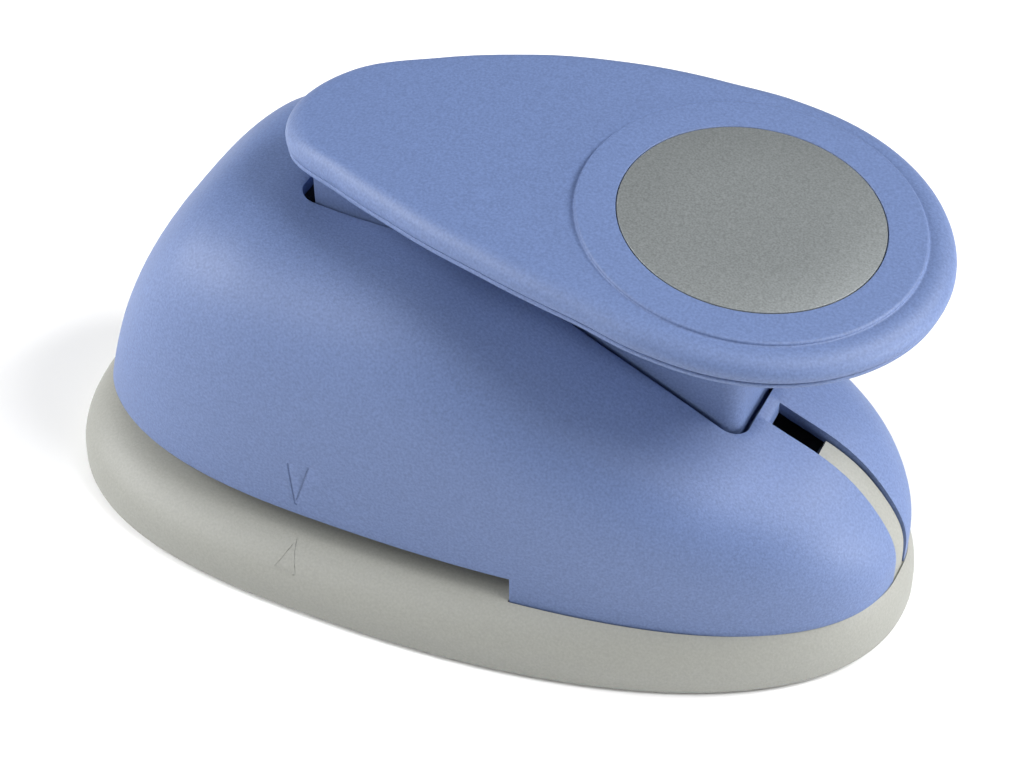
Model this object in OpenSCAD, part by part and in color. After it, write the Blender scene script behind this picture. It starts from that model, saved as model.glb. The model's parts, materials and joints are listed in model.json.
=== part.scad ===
// Lever craft punch that cuts 2 inch circles from card. Millimetres, +Z up.
// The origin is the middle of the whole outline, on the surface the feet stand on.
// +X points to the nose, below the round pad. Card goes in round the -X end.
// Pressing the pad turns the lever about the rear pivot pin, and the roller in
// its arm pushes the spring-loaded cutter down through the die.

/* [Cutting set] */
// Diameter of the circle that is cut out
die_d = 50.8; // [49:0.2:51.2]
// Gap between the two steel plates that the card slides into
paper_gap = 1.8; // [1.4:0.1:2]
// Distance from the pivot pin forward to the die axis
press_arm = 36; // [35.5:0.25:36.5]

/* [Base] */
// Length of the base behind its widest place
base_rear = 72; // [71.5:0.5:74]
// Length of the base in front of its widest place
base_front = 109.5; // [109:0.5:112]
// Half of the base's greatest width
base_half = 52; // [51:0.5:54]
// Height of the deck around the die
deck_z = 14.5; // [14:0.25:15]

/* [Upper housing] */
// Length of the housing behind its widest place
shell_rear = 66.5; // [66:0.5:67]
// Length of the housing in front of its widest place
shell_front = 107.5; // [106.5:0.5:108]
// Half of the housing's greatest width
shell_half = 43.4; // [43:0.2:44.4]
// Wall thickness of the housing
shell_wall = 2.6; // [2.2:0.1:2.8]
// Height of the rear edge, above the card slot
edge_z = 20; // [19.5:0.25:20.5]

/* [Lever] */
// Distance of the pad's centre from the origin along X
pad_x = 52.5; // [51.5:0.25:52.5]
// Height of the middle of the pad's face
pad_z = 92.75; // [92:0.25:94]
// Radius of the raised pad
pad_r = 33.25; // [31:0.25:33.5]
// Tilt of the lever plate towards the nose in degrees
tilt = 5.5; // [5:0.25:6]

/* [Hidden] */
$fn = 64;
eps = 0.01;
// A cutting tool reaches this far past the surfaces it goes through
over = 1;
// Radial gap around screws, and around parts that slide in a bore
fit_gap = 0.05;
// Gap between neighbouring parts that move against each other
air = 0.3;

// Outline shared by base and housing: widest place and number of facets
centre_x = -18.5;
facets = 64;
base_power_rear = 2.7;
base_power_front = 2.15;
shell_power_rear = 2.6;
shell_power_front = 2.33;

// Section of the housing from its edge to the middle of the roof, as control
// points of a curve: [share of the half width, share of the height]
section = [[1, 0], [1, 0.6], [1.07, 1.22], [0.28, 1], [0, 1]];
// Height of the roof's middle line: [x, z]
roof_line = [[-85, 12], [-80, 30], [-72, 55], [-60, 69], [-46, 72.2], [-30, 72], [0, 70.4], [30, 58],
  [60, 47], [78, 42.8], [92, 33]];
section_steps = 12;

// Levels
foot_h = 0.8;
seam_z = 12.8;
plate_t = 3;
guide_t = 3.5;
die_top = seam_z + plate_t;
guide_z = die_top + paper_gap;
guide_top = guide_z + guide_t;
collar_top = 27;
collar_r = 30;
cutter_low = guide_z + 1.1;
cutter_top = 34;
holder_top = 41;
wing_z = 36;
strip_t = 1;

// Card slot: the rear edge ends at the notch
notch_x = 22;

// Places of the mechanism
die_x = -24.5;
die_r = die_d / 2;
pivot_x = die_x - press_arm;
pivot_z = 45;
roller_r = 6;
roller_z = holder_top + strip_t + roller_r + 0.1;
post_dx = 26;
post_y = 25;
post_r = 2.5;
plate_half = 33;
plate_rear = -58;
plate_front = 28;
spacer_rear = 8;
well_r = die_r + 1.6;

// Screw places: [x, y] on the +Y side, repeated on the -Y side
die_screw_at = [[13, 25], [23, 25]];
rear_die_screw_at = [[-52.5, 28]];
bracket_screw_at = [[-68.5, 5], [-58.5, 5]];
housing_screw_at = [[44, 25], [74, 12]];
rear_housing_screw_at = [[-65, 23]];
foot_at = [[-66, 30], [64, 24]];
foot_r = 6;
post_wide = 4.2;

// Neck of the lever and the slot that it moves in
neck_rear = -35.3;
neck_front = 56.2;
neck_half = 10.4;
neck_wall = 2.5;
neck_corner = 4;
slot_rear = -39.1;
slot_front = 57.7;
slot_half = 11.4;
nose_slot_x = 60;
nose_slot_half = 3;
tongue_half = nose_slot_half - air;

// Lever plate: distance from the pad's centre to the rim, at angles from the nose
// round to the rear tip
rim = [[0, 39.3], [40, 38.8], [80, 38.6], [100, 39.4], [120, 42.5], [140, 52], [155, 65.5],
  [165, 79], [172, 91.2], [180, 95.8]];
// Degrees that the rim's facets are drawn together towards the rear tip
rim_crowding = 30;
bow_start = 12;
bow = 0.00175;
pad_step = 0.7;
cover_wall = 2.6;
parting = -5.3;
lip_bottom = -6.9;
label_t = 0.8;
// Depth of the screw heads' seats in the underside
screw_seat = 0.4;
// Screw places in the lever plate: [along the plate, across it]
lever_screw_at = [[27, 17], [-45, 20]];

// ---------------------------------------------------------------- functions

function mix(a, b, s) = a + (b - a) * s;

// Cubic between two values a and b with end slopes ma and mb over a length h
function cubic(a, b, ma, mb, h, s) =
  (2 * s^3 - 3 * s^2 + 1) * a + (s^3 - 2 * s^2 + s) * h * ma
  + (3 * s^2 - 2 * s^3) * b + (s^3 - s^2) * h * mb;

function knot_slope(k, i) =
  let (a = max(i - 1, 0), b = min(i + 1, len(k) - 1)) (k[b][1] - k[a][1]) / (k[b][0] - k[a][0]);

function knot_before(k, x, i = 0) = i >= len(k) - 2 || x < k[i + 1][0] ? i : knot_before(k, x, i + 1);

// Smooth curve through the knots k = [[x, value], ...]
function curve(k, x) =
  let (i = knot_before(k, x), h = k[i + 1][0] - k[i][0])
  cubic(k[i][1], k[i + 1][1], knot_slope(k, i), knot_slope(k, i + 1), h, (x - k[i][0]) / h);

// Point at parameter t of the curve that the control points p pull
function pulled(p, t) = len(p) == 1 ? p[0]
  : pulled([for (i = [0:len(p) - 2]) mix(p[i], p[i + 1], t)], t);

// Point of an oval made of two superellipse halves
function oval(a, rear, front, half, power_rear, power_front) =
  let (c = cos(a), s = sin(a), p = c < 0 ? power_rear : power_front, l = c < 0 ? rear : front)
  [centre_x + sign(c) * l * abs(c)^(2 / p), sign(s) * half * abs(s)^(2 / p)];

function base_outline(inset, front_inset) =
  [for (k = [0:facets - 1]) oval(360 * k / facets, base_rear - inset, base_front - front_inset,
    base_half - inset, base_power_rear, base_power_front)];

function shell_outline(inset) =
  [for (k = [0:facets - 1]) oval(360 * k / facets, shell_rear - inset, shell_front - inset,
    shell_half - inset, shell_power_rear, shell_power_front)];

function lifted(points, z) = [for (p = points) [p[0], p[1], z]];

// One level of the housing: t runs from 0 at the edge to 1 at the roof's middle
function shell_ring(t, inset) =
  let (q = pulled(section, t))
  [for (p = shell_outline(inset))
    let (x = centre_x + q[0] * (p[0] - centre_x))
    [x, q[0] * p[1], seam_z + (curve(roof_line, x) - inset - seam_z) * q[1]]];

function roof_middle(inset) = [centre_x, 0, curve(roof_line, centre_x) - inset];

// Parameter at which the section is at a given share of the half width
function section_at(share, lo = 0, hi = 1, n = 20) =
  let (m = (lo + hi) / 2, wider = pulled(section, m)[0] > share)
  n == 0 ? m : section_at(share, wider ? m : lo, wider ? hi : m, n - 1);

// Distance from the pad's centre to the lever's rim at an angle from the nose
function rim_at(a) =
  let (b = a > 180 ? 360 - a : a, i = knot_before(rim, b), h = rim[i + 1][0] - rim[i][0],
    start = i == 0 ? 0 : knot_slope(rim, i), end = i == len(rim) - 2 ? 0 : knot_slope(rim, i + 1))
  cubic(rim[i][1], rim[i + 1][1], start, end, h, (b - rim[i][0]) / h);

// Sag of the lever plate towards its rear tip, u being the distance along it
function sag(u) = -bow * max(0, -u - bow_start)^2;

// Place on the lever: u along the plate, v across it, h above the pad's face
function on_plate(u, v, h) =
  [pad_x + u * cos(tilt) + h * sin(tilt), v, pad_z - u * sin(tilt) + h * cos(tilt)];

// Ring of the lever plate, a distance inside its rim or a share of it, at height h
function plate_ring(inset, share, h) =
  [for (k = [0:facets - 1])
    let (b = 360 * k / facets, a = b + rim_crowding * sin(b), r = (rim_at(a) - inset) * share,
      u = r * cos(a))
    on_plate(u, r * sin(a), h + sag(u))];

// ---------------------------------------------------------------- helpers

// Closed skin over a stack of rings with a point at each end
module skin(rings, first, last) {
  n = len(rings[0]);
  m = len(rings);
  sides = [for (i = [0:m - 2]) for (k = [0:n - 1])
    let (a = i * n + k, b = i * n + (k + 1) % n) each [[a, a + n, b], [b, a + n, b + n]]];
  start = [for (k = [0:n - 1]) [k, (k + 1) % n, m * n]];
  end = [for (k = [0:n - 1]) [(m - 1) * n + (k + 1) % n, (m - 1) * n + k, m * n + 1]];
  polyhedron([for (r = rings) each r, first, last], concat(sides, start, end), convexity = 6);
}

module mirrored() {
  children();
  mirror([0, 1, 0]) children();
}

module at_both(places) {
  for (p = places) for (side = [-1, 1]) translate([p[0], side * p[1], 0]) children();
}

module at_posts() {
  at_both([[die_x - post_dx, post_y], [die_x + post_dx, post_y]]) children();
}

// Cylinder along Z between two heights
module rod(r, z0, z1) {
  translate([0, 0, z0]) cylinder(r = r, h = z1 - z0);
}

// Cylinder along Y between two places, standing at x and z
module cross_rod(r, x, z, y0, y1) {
  translate([x, y1, z]) rotate([90, 0, 0]) cylinder(r = r, h = y1 - y0);
}

// Plate that lies in an XZ outline between two places along Y
module side_plate(points, y0, y1) {
  translate([0, y1, 0]) rotate([90, 0, 0]) linear_extrude(y1 - y0) polygon(points);
}

module rounded_box(x0, x1, half, r, z0, z1) {
  translate([0, 0, z0]) linear_extrude(z1 - z0) {
    translate([x0 + r, -half]) square([x1 - x0 - 2 * r, 2 * half]);
    translate([x0, -half + r]) square([x1 - x0, 2 * (half - r)]);
    for (x = [x0 + r, x1 - r]) for (y = [-half + r, half - r]) translate([x, y]) circle(r);
  }
}

// Pan head screw: the head is below z_head, the shank above it
module screw(shank_r, head_r, head_t, z_head, z_end) {
  difference() {
    union() {
      rod(head_r, z_head - head_t, z_head);
      rod(shank_r, z_head - eps, z_end);
    }
    for (a = [0, 90]) rotate(a) translate([-head_r * 0.6, -0.4, z_head - head_t - over])
      cube([head_r * 1.2, 0.8, over + head_t * 0.45]);
  }
}

// Countersunk screw with its face at z_face and its shank above it
module flat_screw(shank_r, head_r, z_face, z_end) {
  difference() {
    union() {
      rod(shank_r, z_face, z_end);
      translate([0, 0, z_face]) cylinder(r1 = head_r, r2 = shank_r, h = head_r - shank_r);
    }
    translate([0, 0, z_face - over]) cylinder(r = shank_r * 0.6, h = over + 0.8, $fn = 6);
  }
}

module flat_screw_hole(shank_r, head_r, z_face, z_end) {
  rod(shank_r + fit_gap, z_face - over, z_end);
  translate([0, 0, z_face]) cylinder(r1 = head_r + fit_gap, r2 = shank_r + fit_gap, h = head_r - shank_r);
}

// Sets its children on the lever plate, square to it
module at_plate(u, v) {
  slope = atan(2 * bow * max(0, -u - bow_start));
  translate(on_plate(u, v, sag(u))) rotate([0, tilt - slope, 0]) children();
}

module on_lever(places) {
  for (p = places) for (side = [-1, 1]) at_plate(p[0], side * p[1]) children();
}

// ---------------------------------------------------------------- base

// The side wall stands upright, then curves in to the deck
wall_z = 3.5;
curve_in = 13;
nose_in = 3.5;
curve_steps = 7;

module base_solid() {
  skin([
    lifted(base_outline(0.5, 0.5), foot_h),
    lifted(base_outline(0, 0), foot_h + 0.6),
    for (i = [0:curve_steps])
      let (a = 90 * i / curve_steps, s = 1 - cos(a))
      lifted(base_outline(curve_in * s, nose_in * s), mix(wall_z, deck_z, sin(a)))
  ], [centre_x, 0, foot_h], [centre_x, 0, deck_z]);
}

// Centre tongue that fills the nose slot, a little below the housing's surface
tongue_end_x = 70.5;
tongue_end_t = section_at((tongue_end_x - centre_x) / shell_front);
tongue_steps = 14;

function tongue_point(i) =
  let (t = tongue_end_t * i / tongue_steps, q = pulled(section, t), x = centre_x + q[0] * shell_front,
    sunk = mix(0.2, 1.4, i / tongue_steps))
  [x - sunk * (1 - i / tongue_steps),
    seam_z + (curve(roof_line, x) - seam_z) * q[1] - sunk * i / tongue_steps];

module tongue() {
  top = tongue_point(tongue_steps);
  side_plate([
    for (i = [0:tongue_steps]) tongue_point(i),
    [top[0], top[1] - 9], [tongue_end_x + 5, seam_z - over], [base_front + centre_x - 3, seam_z - over]
  ], -tongue_half, tongue_half);
}

module base_cavity() {
  translate([0, 0, -over]) linear_extrude(over + 7) polygon(base_outline(3, 3));
  translate([0, 0, -over]) linear_extrude(over + 10) polygon(base_outline(9, 7));
}

module base() {
  boss_top = seam_z - eps;
  color("gainsboro") difference() {
    union() {
      difference() {
        base_solid();
        base_cavity();
      }
      translate([die_x, 0, 0]) rod(well_r + 2.4, foot_h + 0.7, boss_top);
      at_both(die_screw_at) rod(5.4, foot_h + 0.7, boss_top);
      at_both(housing_screw_at) rod(4.5, foot_h + 0.7, boss_top);
      at_both(rear_die_screw_at) rod(4, foot_h + 3, boss_top);
      at_both(foot_at) rod(foot_r + 2, foot_h, 10.5);
      tongue();
    }
    // Seat of the die plate, and footprint of the housing in front of the notch
    translate([plate_rear - 0.2, -plate_half - 0.2, seam_z])
      cube([plate_front - plate_rear + 0.4, 2 * plate_half + 0.4, deck_z]);
    difference() {
      translate([0, 0, seam_z]) linear_extrude(deck_z) polygon(shell_outline(-0.2));
      translate([notch_x - 0.2 - 120, -60, 0]) cube([120, 120, 60]);
      translate([tongue_end_x, -tongue_half, 0]) cube([30, 2 * tongue_half, 60]);
    }
    translate([die_x, 0, 0]) rod(well_r, -over, seam_z + over);
    at_both(die_screw_at) {
      rod(2 + fit_gap, -over, seam_z + over);
      rod(3.8, -over, 5);
    }
    at_both(housing_screw_at) {
      rod(1.75 + fit_gap, -over, seam_z + over);
      rod(3.3, -over, 5);
    }
    at_both(rear_die_screw_at) rod(1.5 + fit_gap, 6, seam_z + over);
    at_both(foot_at) rod(foot_r + fit_gap, -over, 2.5);
  }
}

module rubber_feet() {
  color("dimgray") at_both(foot_at) difference() {
    union() {
      rod(foot_r - 0.5, 0, 0.5);
      rod(foot_r, 0.5 - eps, 2.5);
    }
    rod(2, -over, 0.4);
  }
}

// ---------------------------------------------------------------- cutting set

module die_plate() {
  color("silver") difference() {
    translate([plate_rear, -plate_half, seam_z])
      cube([plate_front - plate_rear, 2 * plate_half, plate_t]);
    translate([die_x, 0, 0]) rod(die_r + fit_gap, 0, 40);
    at_both(die_screw_at) rod(2 + fit_gap, 0, 40);
    at_both(rear_die_screw_at) mirror([0, 0, 1]) flat_screw_hole(1.5, 3, -die_top, 0);
  }
}

module paper_spacer() {
  color("gray") difference() {
    translate([spacer_rear, -plate_half, die_top])
      cube([plate_front - spacer_rear, 2 * plate_half, paper_gap]);
    at_both(die_screw_at) rod(2 + fit_gap, 0, 40);
  }
}

module guide_plate() {
  color("darkgray") difference() {
    union() {
      translate([0, 0, guide_z]) linear_extrude(guide_t) polygon([
        [plate_front, -plate_half], [plate_front, plate_half], [plate_rear, plate_half],
        [-71, 28], [-74, 20], [-74, -20], [-71, -28], [plate_rear, -plate_half]]);
      translate([die_x, 0, 0]) rod(collar_r, guide_top - eps, collar_top);
    }
    translate([die_x, 0, 0]) rod(die_r + fit_gap, 0, 40);
    at_both(die_screw_at) rod(2 + fit_gap, 0, 40);
    at_both(bracket_screw_at) rod(2 + fit_gap, 0, 40);
    at_posts() rod(2 + fit_gap, 0, 40);
    at_both(rear_housing_screw_at) flat_screw_hole(1.75, 3.2, guide_z, 40);
  }
}

module die_screws() {
  color("silver") at_both(die_screw_at) screw(2, 3.6, 2.4, 5, guide_top - 0.5);
}

module rear_die_screws() {
  color("silver") at_both(rear_die_screw_at) mirror([0, 0, 1]) flat_screw(1.5, 3, -die_top, -6.5);
}

// ---------------------------------------------------------------- pivot

bracket_in = 11.5;
bracket_out = 13.5;
ear_r = 6.5;
pin_r = 3;
pin_half = 16.5;
groove_r = 2.6;
clip_y = 14;
clip_t = 0.8;
foot_t = 2;

module pivot_bracket() {
  color("lightsteelblue") difference() {
    union() {
      translate([-72.5, -17, guide_top]) cube([17, 34, foot_t]);
      mirrored() {
        translate([pivot_x - ear_r, bracket_in, guide_top])
          cube([2 * ear_r, bracket_out - bracket_in, pivot_z - guide_top]);
        cross_rod(ear_r, pivot_x, pivot_z, bracket_in, bracket_out);
      }
    }
    cross_rod(pin_r + 0.02, pivot_x, pivot_z, -20, 20);
    at_both(bracket_screw_at) rod(2 + fit_gap, 0, 40);
  }
}

module bracket_screws() {
  color("silver") at_both(bracket_screw_at)
    mirror([0, 0, 1]) screw(2, 3.5, 2.4, -guide_top - foot_t, -guide_z - 0.3);
}

module pivot_pin() {
  color("silver") difference() {
    cross_rod(pin_r, pivot_x, pivot_z, -pin_half, pin_half);
    mirrored() difference() {
      cross_rod(pin_r + over, pivot_x, pivot_z, clip_y, clip_y + clip_t);
      cross_rod(groove_r, pivot_x, pivot_z, clip_y - over, clip_y + clip_t + over);
    }
  }
}

module pivot_clips() {
  color("dimgray") mirrored() difference() {
    cross_rod(5, pivot_x, pivot_z, clip_y + fit_gap, clip_y + clip_t - fit_gap);
    cross_rod(groove_r + fit_gap, pivot_x, pivot_z, clip_y - over, clip_y + clip_t + over);
    translate([pivot_x, clip_y - over, pivot_z - 1.6]) cube([10, clip_t + 2 * over, 3.2]);
  }
}

// ---------------------------------------------------------------- housing

// Screw posts, cut off inside the thickness of the roof
module shell_posts() {
  intersection() {
    union() {
      at_both(housing_screw_at) rod(post_wide, seam_z + 0.1, 70);
      at_both(rear_housing_screw_at) rod(post_wide, guide_top + 0.1, 70);
    }
    skin([for (i = [0:section_steps]) shell_ring(i / (section_steps + 1), shell_wall / 3)],
      [centre_x, 0, seam_z], roof_middle(shell_wall / 3));
  }
}

module shell() {
  inner = [for (i = [section_steps:-1:0]) shell_ring(i / (section_steps + 1), shell_wall)];
  outer = [for (i = [0:section_steps]) shell_ring(i / (section_steps + 1), 0)];
  skin(concat(inner, outer), roof_middle(shell_wall), roof_middle(0));
}

module upper_housing() {
  color("cornflowerblue") difference() {
    union() {
      shell();
      shell_posts();
    }
    // Raised rear edge over the card slot
    translate([-150, -60, 0]) cube([150 + notch_x, 120, edge_z]);
    rounded_box(slot_rear, slot_front, slot_half, neck_corner + 0.5, 36, 90);
    translate([nose_slot_x, -nose_slot_half, 0]) cube([40, 2 * nose_slot_half, 70]);
    at_both(housing_screw_at) rod(1.75 + fit_gap, 0, 30);
    at_both(rear_housing_screw_at) rod(1.75 + fit_gap, 0, 40);
  }
}

module housing_screws() {
  color("silver") at_both(housing_screw_at) screw(1.75, 3.1, 2.2, 5, 28);
}

module rear_housing_screws() {
  color("silver") at_both(rear_housing_screw_at) flat_screw(1.75, 3.2, guide_z, 36);
}

// ---------------------------------------------------------------- cutter

module guide_posts() {
  color("silver") at_posts() difference() {
    union() {
      rod(2, guide_z + 0.1, guide_top + eps);
      rod(post_r, guide_top, holder_top + air);
      rod(4, holder_top + air - eps, holder_top + air + 2.4);
    }
    translate([0, 0, holder_top + air + 1.2]) cylinder(r = 1.6, h = 4, $fn = 6);
  }
}

spring_r = 3.9;
wire_r = 0.6;
coils = 5;
coil_facets = 12;
wire_facets = 6;

// Compression spring: a wire of round section wound up the Z axis
module spring(z0, z1) {
  n = coils * coil_facets;
  rings = [for (i = [0:n])
    let (a = 360 * i / coil_facets, z = mix(z0 + wire_r, z1 - wire_r, i / n))
    [for (k = [0:wire_facets - 1])
      let (b = -360 * k / wire_facets, r = spring_r + wire_r * cos(b))
      [r * cos(a), r * sin(a), z + wire_r * sin(b)]]];
  middle = function (ring) [for (c = [0:2]) (ring[0][c] + ring[wire_facets / 2][c]) / 2];
  skin(rings, middle(rings[0]), middle(rings[n]));
}

module return_springs() {
  color("dimgray") at_posts() spring(guide_top + fit_gap, wing_z - fit_gap);
}

module punch_cutter() {
  color("lightgray") translate([die_x, 0, 0]) difference() {
    rod(die_r, cutter_low, cutter_top);
    rod(10, cutter_top - 8, cutter_top + over);
    mirrored() translate([0, 14, 0]) rod(1.5 + fit_gap, cutter_top - 7, cutter_top + over);
  }
}

module cutter_holder() {
  color("whitesmoke") difference() {
    union() {
      translate([die_x, 0, 0]) rod(die_r - 1.4, cutter_top, holder_top);
      translate([die_x, 0, 0]) rod(10 - fit_gap, cutter_top - 4, cutter_top + eps);
      for (side = [-1, 1]) translate([die_x - post_dx, side * post_y - 5, wing_z])
        cube([2 * post_dx, 10, holder_top - wing_z]);
      at_posts() rod(5, wing_z, holder_top);
    }
    at_posts() rod(post_r + 0.06, 0, 60);
    mirrored() translate([die_x, 14, 0]) {
      rod(1.5 + fit_gap, 0, 60);
      rod(3.1, holder_top - 2.2, 60);
    }
  }
}

module cutter_screws() {
  color("silver") mirrored() translate([die_x, 14, 0])
    mirror([0, 0, 1]) screw(1.5, 3, 2, -(holder_top - 2.2), -(cutter_top - 6.5));
}

module wear_strip() {
  color("silver") difference() {
    rounded_box(die_x - 14, die_x + 14, 7, 2, holder_top, holder_top + strip_t);
    for (x = [-11, 11]) translate([die_x + x, 0, 0]) rod(0.8, 0, 60);
  }
}

// ---------------------------------------------------------------- lever

// Outline of the arm's side walls: its flat top, and the rest round to the pivot
arm_z = 65;
arm_bend_x = -49;
arm_top = [[pivot_x, pivot_z + ear_r], [arm_bend_x, arm_z], [neck_rear + 0.5, arm_z]];
arm_low = [[neck_front, 39], [42, 40], [20, 47], [0, 48], [die_x, 42.8], [-50, 42.8],
  [pivot_x, pivot_z - ear_r]];
web_t = 2;
top_steps = 9;

function under_x(i) = mix(neck_rear, neck_front, i / top_steps);

// Height of the lever plate's underside above a place along X, plus a bite into it
function under_z(x) =
  let (u = (x - pad_x) / cos(tilt)) pad_z - u * sin(tilt) + (lip_bottom + sag(u)) * cos(tilt) + 0.5;

module arm_wall(y0, y1) {
  plate = [for (i = [0:top_steps]) [under_x(i), under_z(under_x(i))]];
  side_plate(concat(arm_top, plate, arm_low), y0, y1);
}

// Block of the neck's outer shape, cut to the lever plate and to the arm
module neck_block() {
  intersection() {
    rounded_box(neck_rear, neck_front, neck_half, neck_corner, 30, 95);
    arm_wall(-20, 20);
  }
}

module lever_body() {
  color("royalblue") difference() {
    union() {
      skin([
        for (share = [0.2:0.2:0.8]) plate_ring(2, share, lip_bottom),
        plate_ring(2, 1, lip_bottom),
        plate_ring(0.9, 1, lip_bottom + 0.3),
        plate_ring(0.5, 1, mix(lip_bottom, parting, 0.6)),
        plate_ring(0.9, 1, parting - 0.15),
        for (share = [0.8:-0.2:0.2]) plate_ring(0.9, share, parting - 0.15)
      ], on_plate(0, 0, lip_bottom), on_plate(0, 0, parting - 0.15));
      difference() {
        neck_block();
        rounded_box(neck_rear + neck_wall, neck_front - neck_wall, neck_half - neck_wall,
          neck_corner - neck_wall, 20, under_z(neck_rear) - 1);
      }
      mirrored() intersection() {
        arm_wall(neck_half - neck_wall, neck_half);
        translate([-80, 0, 0]) cube([80 + die_x, 30, 80]);
      }
      mirrored() cross_rod(ear_r, pivot_x, pivot_z, neck_half - neck_wall, neck_half);
      // Web between the arm's walls, under the stop pad
      side_plate([[-56, 54.5], [arm_bend_x, arm_z - web_t], [neck_rear, arm_z - web_t], [neck_rear, arm_z],
        [arm_bend_x, arm_z], [-56, 56.8]], -neck_half + 1, neck_half - 1);
    }
    cross_rod(4.5 + fit_gap, pivot_x, pivot_z, -20, 20);
    cross_rod(2 + 0.02, die_x, roller_z, -20, 20);
    on_lever(lever_screw_at) {
      rod(1.5 + fit_gap, lip_bottom - 2, parting + 1);
      rod(2.8 + fit_gap, lip_bottom - 2, lip_bottom + screw_seat);
    }
  }
}

module lever_cover() {
  color("cornflowerblue") difference() {
    union() {
      skin([
        plate_ring(3.2, 0.2, -pad_step - cover_wall),
        plate_ring(3.2, 0.6, -pad_step - cover_wall),
        plate_ring(4.2, 1, -pad_step - cover_wall),
        plate_ring(3.2, 1, parting),
        plate_ring(0.5, 1, parting),
        plate_ring(0, 1, parting + 1.3),
        plate_ring(0.5, 1, -2.4),
        plate_ring(1.8, 1, -1.3),
        plate_ring(4.2, 1, -pad_step - 0.1),
        plate_ring(7, 1, -pad_step),
        plate_ring(0, 0.6, -pad_step),
        plate_ring(0, 0.2, -pad_step)
      ], on_plate(0, 0, -pad_step - cover_wall), on_plate(0, 0, -pad_step));
      at_plate(0, 0) rod(pad_r, -2.6, 0);
      on_lever(lever_screw_at) rod(3, parting, -pad_step - 1);
    }
    at_plate(0, 0) rod(die_r + fit_gap, -label_t - fit_gap, over);
    on_lever(lever_screw_at) rod(1.5 + fit_gap, parting - over, -pad_step - 1.6);
  }
}

module shape_label() {
  color("silver") at_plate(0, 0) rod(die_r, -label_t, 0);
}

module lever_screws() {
  color("silver") on_lever(lever_screw_at) screw(1.5, 2.8, 1.8, lip_bottom + screw_seat, -pad_step - 1.8);
}

module pivot_bushes() {
  color("whitesmoke") mirrored() difference() {
    union() {
      cross_rod(4.5, pivot_x, pivot_z, neck_half - neck_wall, neck_half);
      cross_rod(6, pivot_x, pivot_z, neck_half, bracket_in - air);
    }
    cross_rod(pin_r + fit_gap, pivot_x, pivot_z, -over, 20);
  }
}

module press_roller() {
  color("lightgray") difference() {
    cross_rod(roller_r, die_x, roller_z, -6.5, 6.5);
    cross_rod(2 + fit_gap, die_x, roller_z, -20, 20);
  }
}

module roller_pin() {
  color("silver") cross_rod(2, die_x, roller_z, -neck_half, neck_half);
}

// Rubber block on the arm that meets the roof when the lever is up
module stop_pad() {
  color("dimgray") translate([-48, -6, arm_z]) cube([9, 12, 4.1]);
}

base();
rubber_feet();
die_plate();
paper_spacer();
guide_plate();
die_screws();
rear_die_screws();
pivot_bracket();
bracket_screws();
pivot_pin();
pivot_clips();
upper_housing();
housing_screws();
rear_housing_screws();
guide_posts();
return_springs();
punch_cutter();
cutter_holder();
cutter_screws();
wear_strip();
lever_cover();
lever_body();
lever_screws();
shape_label();
pivot_bushes();
press_roller();
roller_pin();
stop_pad();
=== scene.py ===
"""Looks of a lever craft punch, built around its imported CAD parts. Metres, +Z up, +X to the nose."""

import json
import math

import bmesh
import bpy
import numpy as np
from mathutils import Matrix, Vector


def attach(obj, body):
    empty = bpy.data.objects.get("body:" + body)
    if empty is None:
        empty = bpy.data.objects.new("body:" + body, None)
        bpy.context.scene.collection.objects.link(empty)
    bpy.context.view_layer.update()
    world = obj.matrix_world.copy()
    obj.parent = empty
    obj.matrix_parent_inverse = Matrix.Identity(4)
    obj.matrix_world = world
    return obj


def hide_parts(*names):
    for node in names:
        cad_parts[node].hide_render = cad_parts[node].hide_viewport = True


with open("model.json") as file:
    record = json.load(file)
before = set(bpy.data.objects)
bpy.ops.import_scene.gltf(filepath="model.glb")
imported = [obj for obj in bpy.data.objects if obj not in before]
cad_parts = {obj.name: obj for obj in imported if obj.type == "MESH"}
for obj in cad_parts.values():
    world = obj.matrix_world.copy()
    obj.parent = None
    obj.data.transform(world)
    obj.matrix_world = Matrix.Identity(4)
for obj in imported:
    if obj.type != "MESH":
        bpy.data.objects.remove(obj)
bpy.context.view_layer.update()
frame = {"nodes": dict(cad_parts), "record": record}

MM = 0.001
AROUND = 320

# ---------------------------------------------------------------- sizes, in millimetres

CENTRE_X = -18.5
BASE_REAR, BASE_FRONT, BASE_HALF = 72.0, 109.5, 52.0
BASE_POWERS = (2.7, 2.15)
SHELL_REAR, SHELL_FRONT, SHELL_HALF = 66.5, 107.5, 43.4
SHELL_POWERS = (2.6, 2.33)
SHELL_WALL = 2.6
# Control points of the housing's section: share of the half width, share of the height
SECTION = [[1, 0], [1, 0.6], [1.07, 1.22], [0.28, 1], [0, 1]]
# Middle line of the roof: x and height
ROOF_LINE = [[-85, 12], [-80, 30], [-72, 55], [-60, 69], [-46, 72.2], [-30, 72], [0, 70.4],
             [30, 58], [60, 47], [78, 42.8], [92, 33]]
FOOT_H, WALL_Z, DECK_Z, SEAM_Z, EDGE_Z = 0.8, 3.5, 14.5, 12.8, 20.0
CURVE_IN, NOSE_IN = 13.0, 3.5
NOTCH_X = 22.0
DIE_X, DIE_R = -24.5, 25.4
PIVOT_X, PIVOT_Z, EAR_R = -60.5, 45.0, 6.5
ROLLER_Z = 48.1
# Rear end, front end and half width of the lever's neck, of its slot and of the die plate
NECK = (-35.3, 56.2, 10.4)
SLOT = (-39.1, 57.7, 11.4)
PLATE = (-58.0, 28.0, 33.0)
NECK_WALL, NECK_CORNER = 2.5, 4.0
NOSE_SLOT_X, NOSE_SLOT_HALF, TONGUE_HALF, TONGUE_END_X = 60.0, 3.0, 2.7, 70.5
PAD_X, PAD_Z, PAD_R, TILT = 52.5, 92.75, 33.25, math.radians(5.5)
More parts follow.
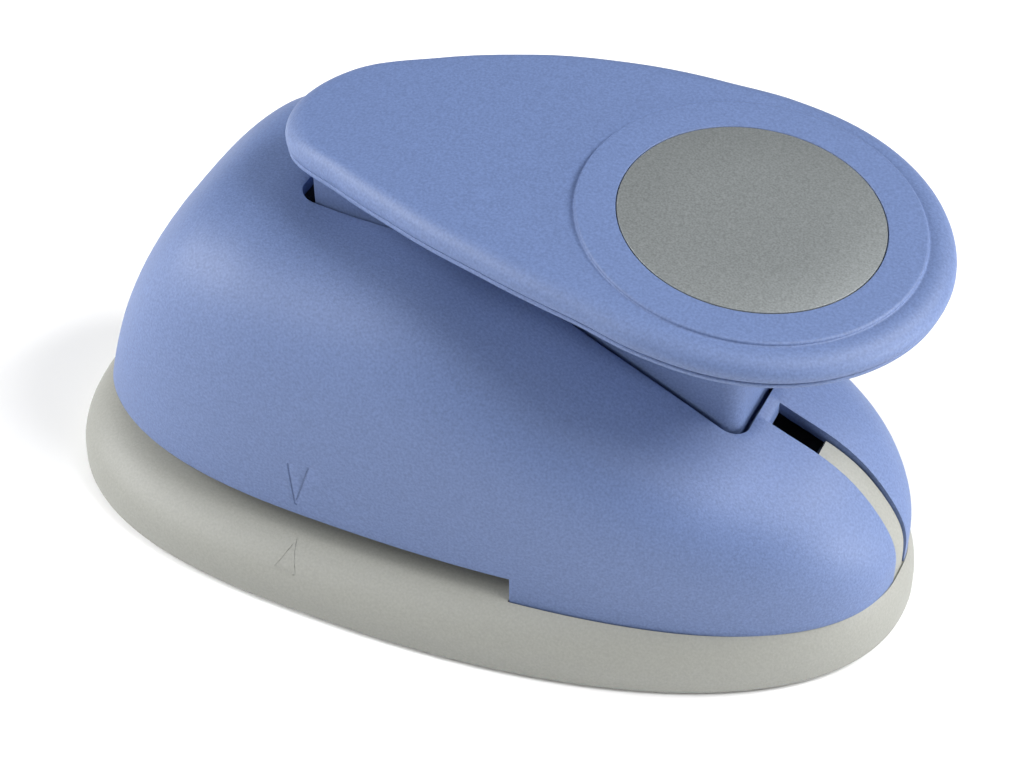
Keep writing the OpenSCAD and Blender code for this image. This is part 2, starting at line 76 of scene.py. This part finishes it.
# Rim of the lever plate: degrees from the nose, distance from the pad's middle
RIM = [[0, 39.3], [40, 38.8], [80, 38.6], [100, 39.4], [120, 42.5], [140, 52], [155, 65.5],
       [165, 79], [172, 91.2], [180, 95.8]]
RIM_CROWDING = math.radians(30)
BOW_START, BOW = 12.0, 0.00175
PAD_STEP, COVER_WALL, PARTING, LIP_BOTTOM, LABEL_T, SCREW_SEAT = 0.7, 2.6, -5.3, -6.9, 0.8, 0.4
# Screw places on one side, along and across the lever plate
LEVER_SCREWS = [(27, 17), (-45, 20)]
# Places on the +Y side as x and y
DIE_SCREWS = [(13, 25), (23, 25)]
REAR_DIE_SCREWS = [(-52.5, 28)]
HOUSING_SCREWS = [(44, 25), (74, 12)]
FEET = [(-66, 30), (64, 24)]
FOOT_R = 6.0
WELL_R = DIE_R + 1.6
# Gap around shanks and pins
FIT = 0.05
# The arm's flat top, the place where it bends down to the pivot, and its cross web
ARM_Z, ARM_BEND_X, WEB_T = 65.0, -49.0, 2.0
# Shares of the way out at which flat faces of the lever plate have a ring
SHARES = (0.1, 0.2, 0.3, 0.4, 0.5, 0.6, 0.7, 0.8, 0.9)
# The visual rim stays this far inside the CAD one, which has fewer facets
RIM_INSET = 0.02


# ---------------------------------------------------------------- curves

def smooth_curve(knots, x):
    """Cubic curve through the knots, with the slope at each taken from its neighbours."""
    k = np.array(knots, float)
    kx, kz = k[:, 0], k[:, 1]
    m = np.empty(len(k))
    m[1:-1] = (kz[2:] - kz[:-2]) / (kx[2:] - kx[:-2])
    m[0] = (kz[1] - kz[0]) / (kx[1] - kx[0])
    m[-1] = (kz[-1] - kz[-2]) / (kx[-1] - kx[-2])
    return hermite(kx, kz, m, x)


def hermite(kx, kz, m, x):
    """Cubic curve through the places (kx, kz) with slopes m."""
    x = np.asarray(x, float)
    i = np.clip(np.searchsorted(kx, x, side="right") - 1, 0, len(kx) - 2)
    h = kx[i + 1] - kx[i]
    s = (x - kx[i]) / h
    return ((2 * s**3 - 3 * s**2 + 1) * kz[i] + (s**3 - 2 * s**2 + s) * h * m[i]
            + (3 * s**2 - 2 * s**3) * kz[i + 1] + (s**3 - s**2) * h * m[i + 1])


def pulled(points, t):
    """Place at parameter t of the curve that the control points pull."""
    points = [np.array(p, float) for p in points]
    while len(points) > 1:
        points = [a + (b - a) * t for a, b in zip(points, points[1:])]
    return points[0]


def oval(rear, front, half, powers, n=AROUND):
    """Outline made of two superellipse halves."""
    a = 2 * math.pi * np.arange(n) / n
    c, s = np.cos(a), np.sin(a)
    c[np.abs(c) < 1e-12] = 0
    s[np.abs(s) < 1e-12] = 0
    p = np.where(c < 0, *powers)
    long = np.where(c < 0, rear, front)
    return np.stack([CENTRE_X + np.sign(c) * long * np.abs(c) ** (2 / p),
                     np.sign(s) * half * np.abs(s) ** (2 / p)], -1)


def base_ring(inset, front_inset, z):
    """Outline of the base, drawn in by a distance, at height z."""
    o = oval(BASE_REAR - inset, BASE_FRONT - front_inset, BASE_HALF - inset, BASE_POWERS)
    return np.column_stack([o, np.full(len(o), z)])


def shell_ring(t, inset):
    """One level of the housing: t runs from 0 at its edge to 1 at the middle of the roof."""
    q = pulled(SECTION, t)
    o = oval(SHELL_REAR - inset, SHELL_FRONT - inset, SHELL_HALF - inset, SHELL_POWERS)
    x = CENTRE_X + q[0] * (o[:, 0] - CENTRE_X)
    roof = smooth_curve(ROOF_LINE, x) - inset
    return np.column_stack([x, q[0] * o[:, 1], SEAM_Z + (roof - SEAM_Z) * q[1]])


def roof_middle(inset):
    return [CENTRE_X, 0, float(smooth_curve(ROOF_LINE, CENTRE_X)) - inset]


def rim_at(a):
    """Distance from the pad's middle to the lever's rim at an angle from the nose."""
    k = np.array(RIM, float)
    kx, kr = np.radians(k[:, 0]), k[:, 1]
    m = np.zeros(len(k))
    m[1:-1] = (kr[2:] - kr[:-2]) / (kx[2:] - kx[:-2])
    b = np.where(a > math.pi, 2 * math.pi - a, a)
    return hermite(kx, kr, m, b)


def sag(u):
    """Height that the lever plate loses at a distance u along it, below zero towards its rear tip."""
    return -BOW * np.maximum(0, -u - BOW_START) ** 2


def on_plate(u, v, h):
    """Place on the lever: u along the plate, v across it, h above the pad's face."""
    return np.stack([PAD_X + u * math.cos(TILT) + h * math.sin(TILT), v + 0 * u,
                     PAD_Z - u * math.sin(TILT) + h * math.cos(TILT)], -1)


def lever_angles():
    """Directions of the rim's points, drawn together towards the rear tip."""
    b = 2 * math.pi * np.arange(AROUND) / AROUND
    return b + RIM_CROWDING * np.sin(b)


def plate_ring(inset, share, h):
    """Ring a distance inside the lever's rim, or at a share of the way to it."""
    a = lever_angles()
    r = (rim_at(a) - inset) * share
    u = r * np.cos(a)
    return on_plate(u, r * np.sin(a), h + sag(u))


def round_ring(r, h, bent=False):
    """Ring about the pad's middle, flat or bent with the plate."""
    a = lever_angles()
    u = r * np.cos(a)
    return on_plate(u, r * np.sin(a), h + (sag(u) if bent else 0 * u))


# ---------------------------------------------------------------- meshes

def new_object(name, verts, faces):
    mesh = bpy.data.meshes.new(name)
    mesh.from_pydata([tuple(v) for v in np.asarray(verts, float) * MM], [], faces)
    mesh.validate()
    mesh.update()
    obj = bpy.data.objects.new(name, mesh)
    bpy.context.scene.collection.objects.link(obj)
    return obj


def skin(name, rings, first, last):
    """Closed skin over a stack of rings, with a point at each end."""
    rings = np.array(rings, float)
    m, n = rings.shape[:2]
    faces = []
    for i in range(m - 1):
        for k in range(n):
            a, b = i * n + k, i * n + (k + 1) % n
            faces.append((a, b, b + n, a + n))
    top = (m - 1) * n
    for k in range(n):
        faces.append(((k + 1) % n, k, m * n))
        faces.append((top + k, top + (k + 1) % n, m * n + 1))
    return new_object(name, np.vstack([rings.reshape(-1, 3), first, last]), faces)


def prism(name, bottom, top):
    """Solid between two outlines of the same number of points, counter-clockwise from above."""
    n = len(bottom)
    faces = [tuple(reversed(range(n))), tuple(range(n, 2 * n))]
    faces += [(k, (k + 1) % n, n + (k + 1) % n, n + k) for k in range(n)]
    return new_object(name, np.vstack([bottom, top]), faces)


def upright(name, outline, z0, z1):
    """Solid over an XY outline."""
    o = np.array(outline, float)
    return prism(name, np.column_stack([o, np.full(len(o), z0)]), np.column_stack([o, np.full(len(o), z1)]))


def block(name, low, high):
    (x0, y0, z0), (x1, y1, z1) = low, high
    return upright(name, [(x0, y0), (x1, y0), (x1, y1), (x0, y1)], z0, z1)


def rod(name, x, y, r, z0, z1, n=72):
    """Cylinder along Z."""
    a = 2 * math.pi * np.arange(n) / n
    return upright(name, np.column_stack([x + r * np.cos(a), y + r * np.sin(a)]), z0, z1)


def cross_rod(name, x, z, r, y0, y1, n=72):
    """Cylinder along Y."""
    a = 2 * math.pi * np.arange(n) / n
    return side_plate(name, np.column_stack([x + r * np.cos(a), z + r * np.sin(a)]), y0, y1)


def side_plate(name, outline, y0, y1):
    """Plate that lies in an XZ outline between two places along Y."""
    o = np.array(outline, float)
    if np.sum(o[:, 0] * np.roll(o[:, 1], -1) - o[:, 1] * np.roll(o[:, 0], -1)) < 0:
        o = o[::-1]
    at = lambda y: np.column_stack([o[:, 0], np.full(len(o), y), o[:, 1]])
    return prism(name, at(y1), at(y0))


def rounded_box(name, x0, x1, half, r, z0, z1, steps=14):
    corners = ((x1 - r, half - r, 0), (x0 + r, half - r, 90),
               (x0 + r, r - half, 180), (x1 - r, r - half, 270))
    outline = []
    for cx, cy, start in corners:
        for i in range(steps + 1):
            a = math.radians(start + 90 * i / steps)
            outline.append((cx + r * math.cos(a), cy + r * math.sin(a)))
    return upright(name, outline, z0, z1)


def both(places):
    """The places on both sides of the object."""
    return [(x, side * y) for x, y in places for side in (-1, 1)]


def combine(target, tools, operation):
    """Cuts the tools out of the target, adds them to it, or keeps what they share."""
    for tool in tools:
        mod = target.modifiers.new("combine", "BOOLEAN")
        mod.operation = operation
        mod.solver = "EXACT"
        mod.object = tool
    bake(target)
    for tool in tools:
        bpy.data.objects.remove(tool)
    return target


def bake(obj):
    """Applies the object's modifiers."""
    bpy.context.view_layer.update()
    deps = bpy.context.evaluated_depsgraph_get()
    mesh = bpy.data.meshes.new_from_object(obj.evaluated_get(deps))
    obj.modifiers.clear()
    obj.data = mesh
    return obj


def soften(obj, width, angle=40, segments=2):
    """Small rounds on the sharp edges."""
    mod = obj.modifiers.new("soften", "BEVEL")
    mod.width = width * MM
    mod.segments = segments
    mod.limit_method = "ANGLE"
    mod.angle_limit = math.radians(angle)
    mod.use_clamp_overlap = True
    mod.miter_outer = "MITER_ARC"
    return bake(obj)


def weld(obj, distance):
    """Joins points that lie closer together than a distance."""
    mod = obj.modifiers.new("weld", "WELD")
    mod.merge_threshold = distance * MM
    return bake(obj)


def smooth(obj, angle=32):
    """Smooth shading, apart from edges sharper than an angle."""
    obj.data.shade_smooth()
    obj.data.set_sharp_from_angle(angle=math.radians(angle))
    return obj


# ---------------------------------------------------------------- materials

def material(name, color, rough, metal=0.0, grain=0.0, grain_size=0.5, tint=0.0):
    """Surface with a fine grain in its height, and a slight unevenness in its colour."""
    mat = bpy.data.materials.new(name)
    mat.use_nodes = True
    nodes, links = mat.node_tree.nodes, mat.node_tree.links
    shader = nodes["Principled BSDF"]
    shader.inputs["Base Color"].default_value = (*color, 1)
    shader.inputs["Roughness"].default_value = rough
    shader.inputs["Metallic"].default_value = metal
    place = nodes.new("ShaderNodeTexCoord")
    if grain:
        fine = nodes.new("ShaderNodeTexNoise")
        fine.inputs["Scale"].default_value = 1 / (grain_size * MM)
        fine.inputs["Detail"].default_value = 3
        links.new(place.outputs["Object"], fine.inputs["Vector"])
        bump = nodes.new("ShaderNodeBump")
        bump.inputs["Strength"].default_value = grain
        bump.inputs["Distance"].default_value = 0.1 * MM
        links.new(fine.outputs["Fac"], bump.inputs["Height"])
        links.new(bump.outputs["Normal"], shader.inputs["Normal"])
    if tint:
        spots = nodes.new("ShaderNodeTexNoise")
        spots.inputs["Scale"].default_value = 1 / (grain_size * 1.3 * MM)
        spots.inputs["Detail"].default_value = 2
        links.new(place.outputs["Object"], spots.inputs["Vector"])
        ramp = nodes.new("ShaderNodeMapRange")
        ramp.inputs["From Min"].default_value = 0.3
        ramp.inputs["From Max"].default_value = 0.7
        ramp.inputs["To Min"].default_value = 1 - tint
        ramp.inputs["To Max"].default_value = 1 + tint
        links.new(spots.outputs["Fac"], ramp.inputs["Value"])
        shade = nodes.new("ShaderNodeVectorMath")
        shade.operation = "SCALE"
        shade.inputs[0].default_value = color
        links.new(ramp.outputs["Result"], shade.inputs["Scale"])
        links.new(shade.outputs["Vector"], shader.inputs["Base Color"])
    return mat


# Slot: colour, roughness, metal, strength of the grain, its size in millimetres, unevenness of colour
LOOKS = {
    "blue_plastic": ((0.112, 0.164, 0.325), 0.56, 0, 0.6, 0.4, 0.14),
    "grey_plastic": ((0.27, 0.273, 0.248), 0.55, 0, 0.35, 0.4, 0.06),
    "label_silver": ((0.21, 0.227, 0.23), 0.5, 0.35, 0.3, 0.3, 0.2),
    "tool_steel": ((0.58, 0.58, 0.6), 0.28, 1, 0.12, 0.3, 0.03),
    "cast_plate": ((0.45, 0.46, 0.48), 0.45, 0.9, 0.5, 0.7, 0.05),
    "sheet_steel": ((0.62, 0.63, 0.66), 0.35, 1, 0.2, 0.6, 0.04),
    "pin_steel": ((0.68, 0.68, 0.7), 0.2, 1, 0.08, 0.25, 0.02),
    "screw_steel": ((0.6, 0.61, 0.66), 0.3, 1, 0.15, 0.3, 0.04),
    "spring_steel": ((0.3, 0.31, 0.34), 0.32, 1, 0.1, 0.3, 0.05),
    "white_plastic": ((0.8, 0.8, 0.77), 0.42, 0, 0.15, 0.5, 0.02),
    "rubber": ((0.03, 0.03, 0.033), 0.75, 0, 0.4, 0.5, 0.1),
}
MATERIALS = {slot: material(slot, *look) for slot, look in LOOKS.items()}


def dress(obj, slot):
    """Gives a piece the material of a slot."""
    obj.data.materials.clear()
    obj.data.materials.append(MATERIALS[slot])


def piece(obj, body, node, slot):
    """A finished piece that stands for a CAD node."""
    dress(obj, slot)
    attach(obj, body)
    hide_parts(node)
    return obj


for part in frame["record"]["subparts"]:
    dress(frame["nodes"][part["node"]], part["material_slot"])


# ---------------------------------------------------------------- alignment marks

def shell_place(t, a):
    """Place and outward direction on the housing's side at the section's parameter t and angle a."""
    def at(t, a):
        q = pulled(SECTION, t)
        c, s = math.cos(a), math.sin(a)
        p, long = (SHELL_POWERS[0], SHELL_REAR) if c < 0 else (SHELL_POWERS[1], SHELL_FRONT)
        x = CENTRE_X + q[0] * math.copysign(long * abs(c) ** (2 / p), c)
        y = q[0] * math.copysign(SHELL_HALF * abs(s) ** (2 / p), s)
        return np.array([x, y, SEAM_Z + (float(smooth_curve(ROOF_LINE, x)) - SEAM_Z) * q[1]])
    here = at(t, a)
    normal = np.cross(at(t, a + 0.001) - here, at(t + 0.001, a) - here)
    return here, normal / np.linalg.norm(normal)


def find_place(place, x, z, t, a):
    """Place and outward direction of place(t, a) where x and z are given, found from a start t, a."""
    for _ in range(40):
        here = place(t, a)[0]
        jt = (place(t + 1e-4, a)[0] - here) / 1e-4
        ja = (place(t, a + 1e-4)[0] - here) / 1e-4
        step = np.linalg.solve([[jt[0], ja[0]], [jt[2], ja[2]]], [x - here[0], z - here[2]])
        t, a = t + step[0], a + step[1]
    return place(t, a)


def base_place(t, a):
    """Place and outward direction on the base's curved side, t being an angle from wall to deck."""
    def at(t, a):
        share = 1 - math.cos(t)
        c, s = math.cos(a), math.sin(a)
        p = BASE_POWERS[0] if c < 0 else BASE_POWERS[1]
        long = BASE_REAR - CURVE_IN * share if c < 0 else BASE_FRONT - NOSE_IN * share
        x = CENTRE_X + math.copysign(long * abs(c) ** (2 / p), c)
        y = math.copysign((BASE_HALF - CURVE_IN * share) * abs(s) ** (2 / p), s)
        return np.array([x, y, WALL_Z + (DECK_Z - WALL_Z) * math.sin(t)])
    here = at(t, a)
    normal = np.cross(at(t, a + 0.001) - here, at(t + 0.001, a) - here)
    return here, normal / np.linalg.norm(normal)


def line_mark(name, place, ends, start, wide, low, high):
    """Thin strip along a surface between two places (x, z), from `low` below it to `high` above it."""
    found = [find_place(place, x, z, *start) for x, z in np.linspace(*ends, 9)]
    along = found[-1][0] - found[0][0]
    rings = []
    for p, n in found:
        side = np.cross(n, along)
        side *= wide / 2 / np.linalg.norm(side)
        rings.append([p - side - n * low, p + side - n * low, p + side + n * high, p - side + n * high])
    return outward(skin(name, rings, np.mean(rings[0], 0), np.mean(rings[-1], 0)))


def outward(obj):
    """Turns the faces of a closed mesh so that they face out."""
    made = bmesh.new()
    made.from_mesh(obj.data)
    bmesh.ops.recalc_face_normals(made, faces=made.faces)
    made.to_mesh(obj.data)
    made.free()
    return obj


# ---------------------------------------------------------------- housing

def make_housing():
    steps = 44
    outer = [shell_ring(i / (steps + 1), 0) for i in range(steps + 1)]
    inner = [shell_ring(i / (steps + 1), SHELL_WALL) for i in range(steps, -1, -1)]
    shell = skin("housing", inner + outer, roof_middle(SHELL_WALL), roof_middle(0))
    # The cutting blocks reach well past the housing
    cuts = [
        block("raised_edge", (-150, -60, 0), (NOTCH_X, 60, EDGE_Z)),
        rounded_box("neck_slot", *SLOT, NECK_CORNER + 0.5, 36, 90),
        block("nose_slot", (NOSE_SLOT_X, -NOSE_SLOT_HALF, 0), (NOSE_SLOT_X + 40, NOSE_SLOT_HALF, 70)),
    ]
    for a in (-math.pi / 2, math.pi / 2):
        for corner in ((DIE_X - 1.2, 33.6), (DIE_X + 3.6, 34.4)):
            cuts.append(line_mark("arrow", shell_place, (corner, (DIE_X, 22.6)), (0.15, a),
                                  wide=0.5, low=0.13, high=1.0))
    combine(shell, cuts, "DIFFERENCE")
    weld(shell, 0.04)
    soften(shell, 0.3)
    return smooth(shell)


piece(make_housing(), "frame", "upper_housing", "blue_plastic")


# ---------------------------------------------------------------- base

def tongue_points(n):
    """Line of the tongue's outer face, a little below the housing's surface."""
    ts = np.linspace(0, 1, 2001)
    shares = np.array([pulled(SECTION, t)[0] for t in ts])
    end = ts[np.argmax(shares < (TONGUE_END_X - CENTRE_X) / SHELL_FRONT)]
    points = []
    for i in range(n + 1):
        q = pulled(SECTION, end * i / n)
        x = CENTRE_X + q[0] * SHELL_FRONT
        sunk = 0.2 + 1.2 * i / n
        z = SEAM_Z + (float(smooth_curve(ROOF_LINE, x)) - SEAM_Z) * q[1]
        points.append((x - sunk * (1 - i / n), z - sunk * i / n))
    return np.array(points)


def make_tongue():
    """Centre tongue that fills the nose slot, with rounded edges."""
    line = tongue_points(60)
    run = np.gradient(line, axis=0)
    run /= np.linalg.norm(run, axis=1)[:, None]
    inward = np.column_stack([-run[:, 1], run[:, 0]])
    h = TONGUE_HALF
    shape = [(-h, 6), (-h, 0.6), (-h + 0.1, 0.3), (-h + 0.3, 0.1), (-h + 0.6, 0),
             (h - 0.6, 0), (h - 0.3, 0.1), (h - 0.1, 0.3), (h, 0.6), (h, 6)]
    rings = []
    for p, n in zip(line, inward):
        rings.append([(p[0] + n[0] * d, y, p[1] + n[1] * d) for y, d in shape])
    mid = lambda ring: np.mean(np.array(ring), 0)
    return skin("tongue", rings, mid(rings[0]), mid(rings[-1]))


def make_base():
    steps = 28
    low_round = ((0.7, 0), (0.35, 0.12), (0.1, 0.35), (0, 0.7))
    rings = [base_ring(inset, inset, FOOT_H + up) for inset, up in low_round]
    for i in range(steps + 1):
        a = math.pi / 2 * i / steps
        share = 1 - math.cos(a)
        rings.append(base_ring(CURVE_IN * share, NOSE_IN * share, WALL_Z + (DECK_Z - WALL_Z) * math.sin(a)))
    base = skin("base_body", rings, [CENTRE_X, 0, FOOT_H], [CENTRE_X, 0, DECK_Z])
    outline = lambda inset, front: base_ring(inset, front, 0)[:, :2]
    cavity = [upright("cavity_low", outline(3, 3), -1, 7), upright("cavity_high", outline(9, 7), -1, 10)]
    combine(base, cavity, "DIFFERENCE")
    # Wall of the exit well and the bosses of screws and feet
    top = SEAM_Z - 0.01
    adds = [rod("well", DIE_X, 0, WELL_R + 2.4, FOOT_H + 0.7, top)]
    adds += [rod("boss", x, y, 5.4, FOOT_H + 0.7, top) for x, y in both(DIE_SCREWS)]
    adds += [rod("boss", x, y, 4.5, FOOT_H + 0.7, top) for x, y in both(HOUSING_SCREWS)]
    adds += [rod("boss", x, y, 4, FOOT_H + 3, top) for x, y in both(REAR_DIE_SCREWS)]
    adds += [rod("boss", x, y, FOOT_R + 2, FOOT_H, 10.5) for x, y in both(FEET)]
    combine(base, adds, "UNION")
    # Seat of the die plate, the open well, and what the housing stands on
    x0, x1, half = PLATE
    cuts = [block("seat", (x0 - 0.2, -half - 0.2, SEAM_Z), (x1 + 0.2, half + 0.2, 40)),
            rod("well_hole", DIE_X, 0, WELL_R, -1, SEAM_Z + 1)]
    footprint = oval(SHELL_REAR + 0.2, SHELL_FRONT + 0.2, SHELL_HALF + 0.2, SHELL_POWERS)
    step = upright("step", footprint, SEAM_Z, 40)
    combine(step, [block("notch", (-150, -70, 0), (NOTCH_X - 0.2, 70, 80))], "DIFFERENCE")
    cuts.append(step)
    for x, y in both(DIE_SCREWS):
        cuts += [rod("hole", x, y, 2 + FIT, -1, SEAM_Z + 1), rod("sink", x, y, 3.8, -1, 5)]
    for x, y in both(HOUSING_SCREWS):
        cuts += [rod("hole", x, y, 1.75 + FIT, -1, SEAM_Z + 1), rod("sink", x, y, 3.3, -1, 5)]
    cuts += [rod("hole", x, y, 1.5 + FIT, 6, SEAM_Z + 1) for x, y in both(REAR_DIE_SCREWS)]
    cuts += [rod("foot_seat", x, y, FOOT_R + FIT, -1, 2.5) for x, y in both(FEET)]
    combine(base, cuts, "DIFFERENCE")
    corners = [(DIE_X - 2.6, 9.5), (DIE_X + 2.4, 9.4), (DIE_X, 13.5)]
    marks = [line_mark("arrow", base_place, (corners[i - 1], corners[i]), (0.7, a),
                       wide=0.5, low=0.4, high=0.08)
             for i in range(3) for a in (-math.pi / 2, math.pi / 2)]
    combine(base, [make_tongue()] + marks, "UNION")
    return smooth(base)


piece(make_base(), "frame", "base", "grey_plastic")


# ---------------------------------------------------------------- lever

def make_cover():
    # From the pocket of the disc over the pad and the plate to the rim, and back underneath
    pocket, floor = DIE_R + 0.2, -LABEL_T - 0.05
    rings = [round_ring(pocket * 0.5, floor), round_ring(pocket, floor), round_ring(pocket, -0.15),
             round_ring(pocket + 0.15, 0), round_ring(PAD_R - 4, 0)]
    for i in range(7):
        a = math.pi / 2 * i / 6
        rings.append(round_ring(PAD_R - 0.6 + 0.6 * math.sin(a), -0.45 + 0.45 * math.cos(a)))
    a = lever_angles()
    rim = rim_at(a)
    plate = -PAD_STEP
    for r, h in ((0.0, 0.2), (0.08, 0.08), (0.3, 0.0)):
        rings.append(round_ring(PAD_R + r, plate + h, True))
    shoulder_in, shoulder_down = 4.4, 3.3
    start = PAD_R + 0.5
    for i in range(14):
        r = start + (rim - shoulder_in - start) * i / 14
        u = r * np.cos(a)
        rings.append(on_plate(u, r * np.sin(a), plate + sag(u)))
    for i in range(15):
        b = math.pi / 2 * i / 14
        inset = RIM_INSET + shoulder_in * (1 - math.sin(b))
        rings.append(plate_ring(inset, 1, plate - shoulder_down * (1 - math.cos(b))))
    low_round = ((0.15, 0.5), (0.4, 0.12), (0.8, 0), (1.6, 0.02))
    rings += [plate_ring(inset, 1, PARTING + up) for inset, up in low_round]
    under = -PAD_STEP - COVER_WALL
    rings += [plate_ring(3.2, 1, PARTING), plate_ring(3.8, 1, under)]
    rings += [plate_ring(3.8, share, under) for share in reversed(SHARES)]
    cover = skin("cover", rings, on_plate(0.0, 0.0, floor), on_plate(0.0, 0.0, under))
    cover.data.flip_normals()
    return smooth(cover, 38)


def under_z(x):
    """Height of the lever plate's underside above a place along X, plus a bite into it."""
    u = (x - PAD_X) / math.cos(TILT)
    return PAD_Z - u * math.sin(TILT) + (LIP_BOTTOM + float(sag(np.array(u)))) * math.cos(TILT) + 0.5


def arm_wall(name, y0, y1):
    """Plate in the outline of the arm and the neck."""
    rear, front, _ = NECK
    top = [(PIVOT_X, PIVOT_Z + EAR_R), (ARM_BEND_X, ARM_Z), (rear + 0.5, ARM_Z)]
    plate = [(x, under_z(x)) for x in np.linspace(rear, front, 16)]
    low = [(front, 39), (42, 40), (20, 47), (0, 48), (DIE_X, 42.8), (-50, 42.8),
           (PIVOT_X, PIVOT_Z - EAR_R)]
    return side_plate(name, top + plate + low, y0, y1)


def plate_rod(name, u, v, r, h0, h1, n=48):
    """Cylinder that stands square on the lever plate."""
    slope = TILT - math.atan(2 * BOW * max(0.0, -u - BOW_START))
    along = np.array([math.cos(slope), 0, -math.sin(slope)])
    up = np.array([math.sin(slope), 0, math.cos(slope)])
    middle = on_plate(np.array(float(u)), np.array(float(v)), sag(np.array(float(u))))
    a = 2 * math.pi * np.arange(n) / n
    ring = lambda h: middle + np.outer(r * np.cos(a), along) + np.outer(r * np.sin(a), [0, 1, 0]) + up * h
    return prism(name, ring(h0), ring(h1))


def make_lever_body():
    lid = PARTING - 0.25
    # Rounded edge of the lip: distance inside the rim, and height
    edge = ((1.6, LIP_BOTTOM), (1.15, -6.86), (0.8, -6.7), (0.58, -6.45), (0.5, -6.15),
            (0.5, -5.85), (0.65, -5.62), (0.9, lid), (1.7, lid))
    rings = [plate_ring(1.6, share, LIP_BOTTOM) for share in SHARES]
    rings += [plate_ring(inset, 1, h) for inset, h in edge]
    rings += [plate_ring(1.7, share, lid) for share in reversed(SHARES)]
    body = skin("lever_frame", rings, on_plate(0.0, 0.0, LIP_BOTTOM), on_plate(0.0, 0.0, lid))
    rear, front, half = NECK
    neck = rounded_box("neck", rear, front, half, NECK_CORNER, 30, 95)
    combine(neck, [arm_wall("outline", -20, 20)], "INTERSECT")
    hollow = rounded_box("hollow", rear + NECK_WALL, front - NECK_WALL, half - NECK_WALL,
                         NECK_CORNER - NECK_WALL, 20, under_z(rear) - 1)
    combine(neck, [hollow], "DIFFERENCE")
    walls = []
    for y0, y1 in ((-half, NECK_WALL - half), (half - NECK_WALL, half)):
        wall = arm_wall("wall", y0, y1)
        walls.append(combine(wall, [block("rear", (-80, -30, 0), (DIE_X, 30, 80))], "INTERSECT"))
        walls.append(cross_rod("ear", PIVOT_X, PIVOT_Z, EAR_R, y0, y1))
    low = ARM_Z - WEB_T
    outline = [(-56, 54.5), (ARM_BEND_X, low), (rear, low), (rear, ARM_Z), (ARM_BEND_X, ARM_Z), (-56, 56.8)]
    web = side_plate("web", outline, 1 - half, half - 1)
    combine(body, [neck] + walls + [web], "UNION")
    cuts = [cross_rod("bush_seat", PIVOT_X, PIVOT_Z, 4.5 + FIT, -20, 20),
            cross_rod("pin_seat", DIE_X, ROLLER_Z, 2.02, -20, 20)]
    for u, v in both(LEVER_SCREWS):
        cuts.append(plate_rod("hole", u, v, 1.5 + FIT, LIP_BOTTOM - 2, PARTING + 1))
    for u, v in both(LEVER_SCREWS):
        cuts.append(plate_rod("sink", u, v, 2.8 + FIT, LIP_BOTTOM - 2, LIP_BOTTOM + SCREW_SEAT))
    combine(body, cuts, "DIFFERENCE")
    return smooth(body)


def make_label():
    rings = [round_ring(DIE_R * 0.5, -LABEL_T), round_ring(DIE_R, -LABEL_T), round_ring(DIE_R, -0.12),
             round_ring(DIE_R - 0.04, -0.04), round_ring(DIE_R - 0.12, 0), round_ring(DIE_R * 0.5, 0)]
    label = skin("label", rings, on_plate(0.0, 0.0, -LABEL_T), on_plate(0.0, 0.0, 0.0))
    return smooth(label, 50)


piece(make_cover(), "lever", "lever_cover", "blue_plastic")
piece(make_lever_body(), "lever", "lever_body", "blue_plastic")
piece(make_label(), "lever", "shape_label", "label_silver")


# ---------------------------------------------------------------- studio

floor = block("studio_floor", (-4000, -4000, -20), (4000, 4000, 0))
floor_look = material("floor_look", (0.93, 0.93, 0.93), 0.8)
floor.data.materials.append(floor_look)


def area_light(name, place, aim, size, power):
    """Round soft light in watts that faces a place."""
    light = bpy.data.lights.new(name, "AREA")
    light.shape = "DISK"
    light.size = size
    light.energy = power
    obj = bpy.data.objects.new(name, light)
    bpy.context.scene.collection.objects.link(obj)
    obj.location = place
    obj.rotation_euler = (Vector(aim) - Vector(place)).to_track_quat("-Z", "Y").to_euler()


area_light("left", (-1.0, -0.25, 0.55), (0, 0, 0.04), 0.6, 11.6)
area_light("near_left", (-0.8, -0.8, 0.6), (0, 0, 0.04), 0.6, 6.5)
area_light("high_near", (-0.45, -0.6, 1.05), (0, 0, 0.04), 0.35, 2.0)
area_light("low_right", (1.2, 0.1, 0.15), (0.05, 0, 0.02), 0.3, 9.0)
area_light("high_right", (0.9, -0.1, 1.1), (0.03, 0, 0.04), 0.5, 10.0)
area_light("far_right", (0.9, 0.6, 0.9), (0.03, 0, 0.04), 0.5, 13.5)
area_light("top", (0.0, 0.0, 1.4), (0, 0, 0.04), 1.0, 1.9)

world = bpy.data.worlds.new("studio")
bpy.context.scene.world = world
world.use_nodes = True
backdrop = world.node_tree.nodes["Background"]
backdrop.inputs["Color"].default_value = (0.95, 0.97, 1.0, 1)
# The camera sees a pale backdrop that sheds hardly any light
seen = world.node_tree.nodes.new("ShaderNodeLightPath")
strength = world.node_tree.nodes.new("ShaderNodeMapRange")
strength.inputs["To Min"].default_value = 0.015
strength.inputs["To Max"].default_value = 0.95
world.node_tree.links.new(seen.outputs["Is Camera Ray"], strength.inputs["Value"])
world.node_tree.links.new(strength.outputs["Result"], backdrop.inputs["Strength"])

scene = bpy.context.scene
scene.view_settings.view_transform = "Standard"

# ---------------------------------------------------------------- camera

AZIMUTH, ELEVATION, DISTANCE = math.radians(25.3), math.radians(43.45), 0.6
TARGET = Vector((0.0031, -0.0001, 0.03))
level = math.cos(ELEVATION)
back = Vector((math.sin(AZIMUTH) * level, -math.cos(AZIMUTH) * level, math.sin(ELEVATION)))
lens = bpy.data.cameras.new("camera")
lens.sensor_width = 36
lens.lens = 102.4
camera = bpy.data.objects.new("camera", lens)
scene.collection.objects.link(camera)
camera.location = TARGET + back * DISTANCE
camera.rotation_euler = (-back).to_track_quat("-Z", "Y").to_euler()
scene.camera = camera
